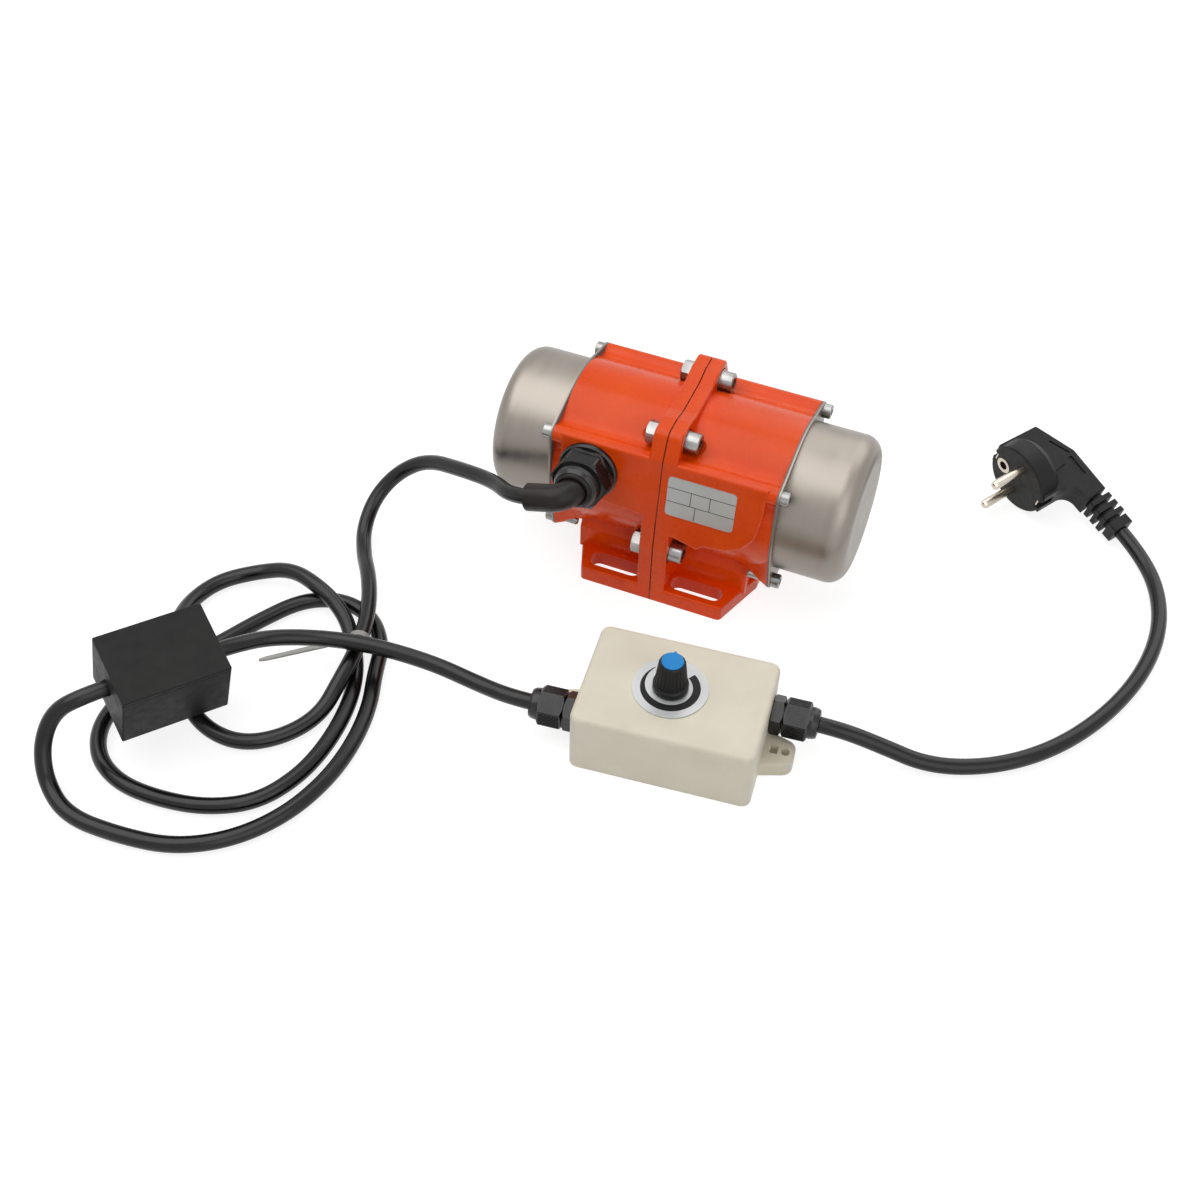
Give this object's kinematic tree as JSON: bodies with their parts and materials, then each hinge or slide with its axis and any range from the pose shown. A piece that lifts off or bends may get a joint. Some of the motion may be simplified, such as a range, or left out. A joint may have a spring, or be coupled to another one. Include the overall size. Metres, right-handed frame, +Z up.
{
  "type": "vibration motor",
  "caption": "Foot-mounted vibration motor with eccentric weights under two steel end caps, wired to a dial speed controller with a plug.",
  "frame": {"origin": "middle of the motor's foot, on the face that is bolted down", "axes": "+X along the motor shaft, -Y the front with the cable gland and rating plate, +Z up from the foot"},
  "size_m": [0.4457, 0.3909, 0.097],
  "materials": {
    "orange_paint": "gloss",
    "stainless_sheet": "satin",
    "zinc": "satin",
    "gasket": "matte",
    "bearing_steel": "polished",
    "shaft_steel": "ground",
    "laminations": "matte",
    "copper": "varnished",
    "weight_steel": "milled",
    "plate": "satin",
    "black_plastic": "matte",
    "cord_black": "semi-gloss",
    "tie_white": "translucent",
    "beige_plastic": "satin",
    "ring_grey": "satin",
    "knob_blue": "satin",
    "nickel": "polished",
    "board_green": "matte",
    "component_grey": "matte",
    "capacitor_film": "satin"
  },
  "bodies": {
    "motor_and_controller": {"housing_right": "orange_paint", "housing_left": "orange_paint", "end_cap_right": "stainless_sheet", "end_cap_left": "stainless_sheet", "cap_gasket_right": "gasket", "cap_gasket_left": "gasket", "cap_screws_right": "zinc", "cap_screws_left": "zinc", "flange_bolts": "zinc", "flange_washers": "zinc", "flange_nuts": "zinc", "stator_core": "laminations", "stator_windings": "copper", "bearing_outer_races": "bearing_steel", "wave_washer": "shaft_steel", "motor_gland_body": "black_plastic", "motor_gland_nut": "black_plastic", "motor_gland_seal": "gasket", "rating_plate": "plate", "cable_sleeve": "cord_black", "motor_lead": "cord_black", "controller_lead": "cord_black", "mains_lead": "cord_black", "cable_tie": "tie_white", "controller_cover": "beige_plastic", "controller_base": "beige_plastic", "controller_base_screws": "zinc", "control_board": "board_green", "board_components": "component_grey", "speed_potentiometer": "component_grey", "potentiometer_nut": "zinc", "dial_ring": "ring_grey", "controller_gland_body_right": "black_plastic", "controller_gland_body_left": "black_plastic", "controller_gland_nut_right": "black_plastic", "controller_gland_nut_left": "black_plastic", "controller_gland_locknuts": "black_plastic", "capacitor_box": "black_plastic", "capacitor_lid": "black_plastic", "run_capacitor": "capacitor_film", "plug_body": "black_plastic", "plug_pins": "nickel", "earth_socket": "nickel", "earth_clips": "nickel"},
    "rotor": {"rotor_shaft": "shaft_steel", "rotor_core": "laminations", "bearing_inner_races": "bearing_steel", "shaft_circlips": "shaft_steel", "fixed_weight_right": "weight_steel", "fixed_weight_left": "weight_steel", "fixed_clamp_screws": "zinc"},
    "adjustable_right": {"adjustable_weight_right": "weight_steel", "adjustable_clamp_screw_right": "zinc"},
    "adjustable_left": {"adjustable_weight_left": "weight_steel", "adjustable_clamp_screw_left": "zinc"},
    "balls_right": {"ball_cage_right": "bearing_steel"},
    "balls_left": {"ball_cage_left": "bearing_steel"},
    "knob": {"speed_knob": "black_plastic", "knob_cap": "knob_blue", "potentiometer_shaft": "component_grey"}
  },
  "joints": [
    {"name": "rotor_spin", "type": "hinge", "parent": "motor_and_controller", "child": "rotor", "pos_m": [0, 0, 0.054], "axis": [1, 0, 0], "continuous": true},
    {"name": "ball_spin_right", "type": "hinge", "parent": "motor_and_controller", "child": "balls_right", "pos_m": [0, 0, 0.054], "axis": [1, 0, 0], "continuous": true},
    {"name": "ball_spin_left", "type": "hinge", "parent": "motor_and_controller", "child": "balls_left", "pos_m": [0, 0, 0.054], "axis": [1, 0, 0], "continuous": true},
    {"name": "weight_setting_right", "type": "hinge", "parent": "rotor", "child": "adjustable_right", "pos_m": [0, 0, 0.054], "axis": [1, 0, 0], "range_deg": [0, 180]},
    {"name": "weight_setting_left", "type": "hinge", "parent": "rotor", "child": "adjustable_left", "pos_m": [0, 0, 0.054], "axis": [1, 0, 0], "range_deg": [0, 180]},
    {"name": "speed_dial", "type": "hinge", "parent": "motor_and_controller", "child": "knob", "pos_m": [0.03722, -0.11872, 0.03], "axis": [0, 0, 1], "range_deg": [0, 300]}
  ],
  "couplings": [
    {"joint": "ball_spin_right", "follows": "rotor_spin", "ratio": 0.4},
    {"joint": "ball_spin_left", "follows": "rotor_spin", "ratio": 0.4}
  ]
}
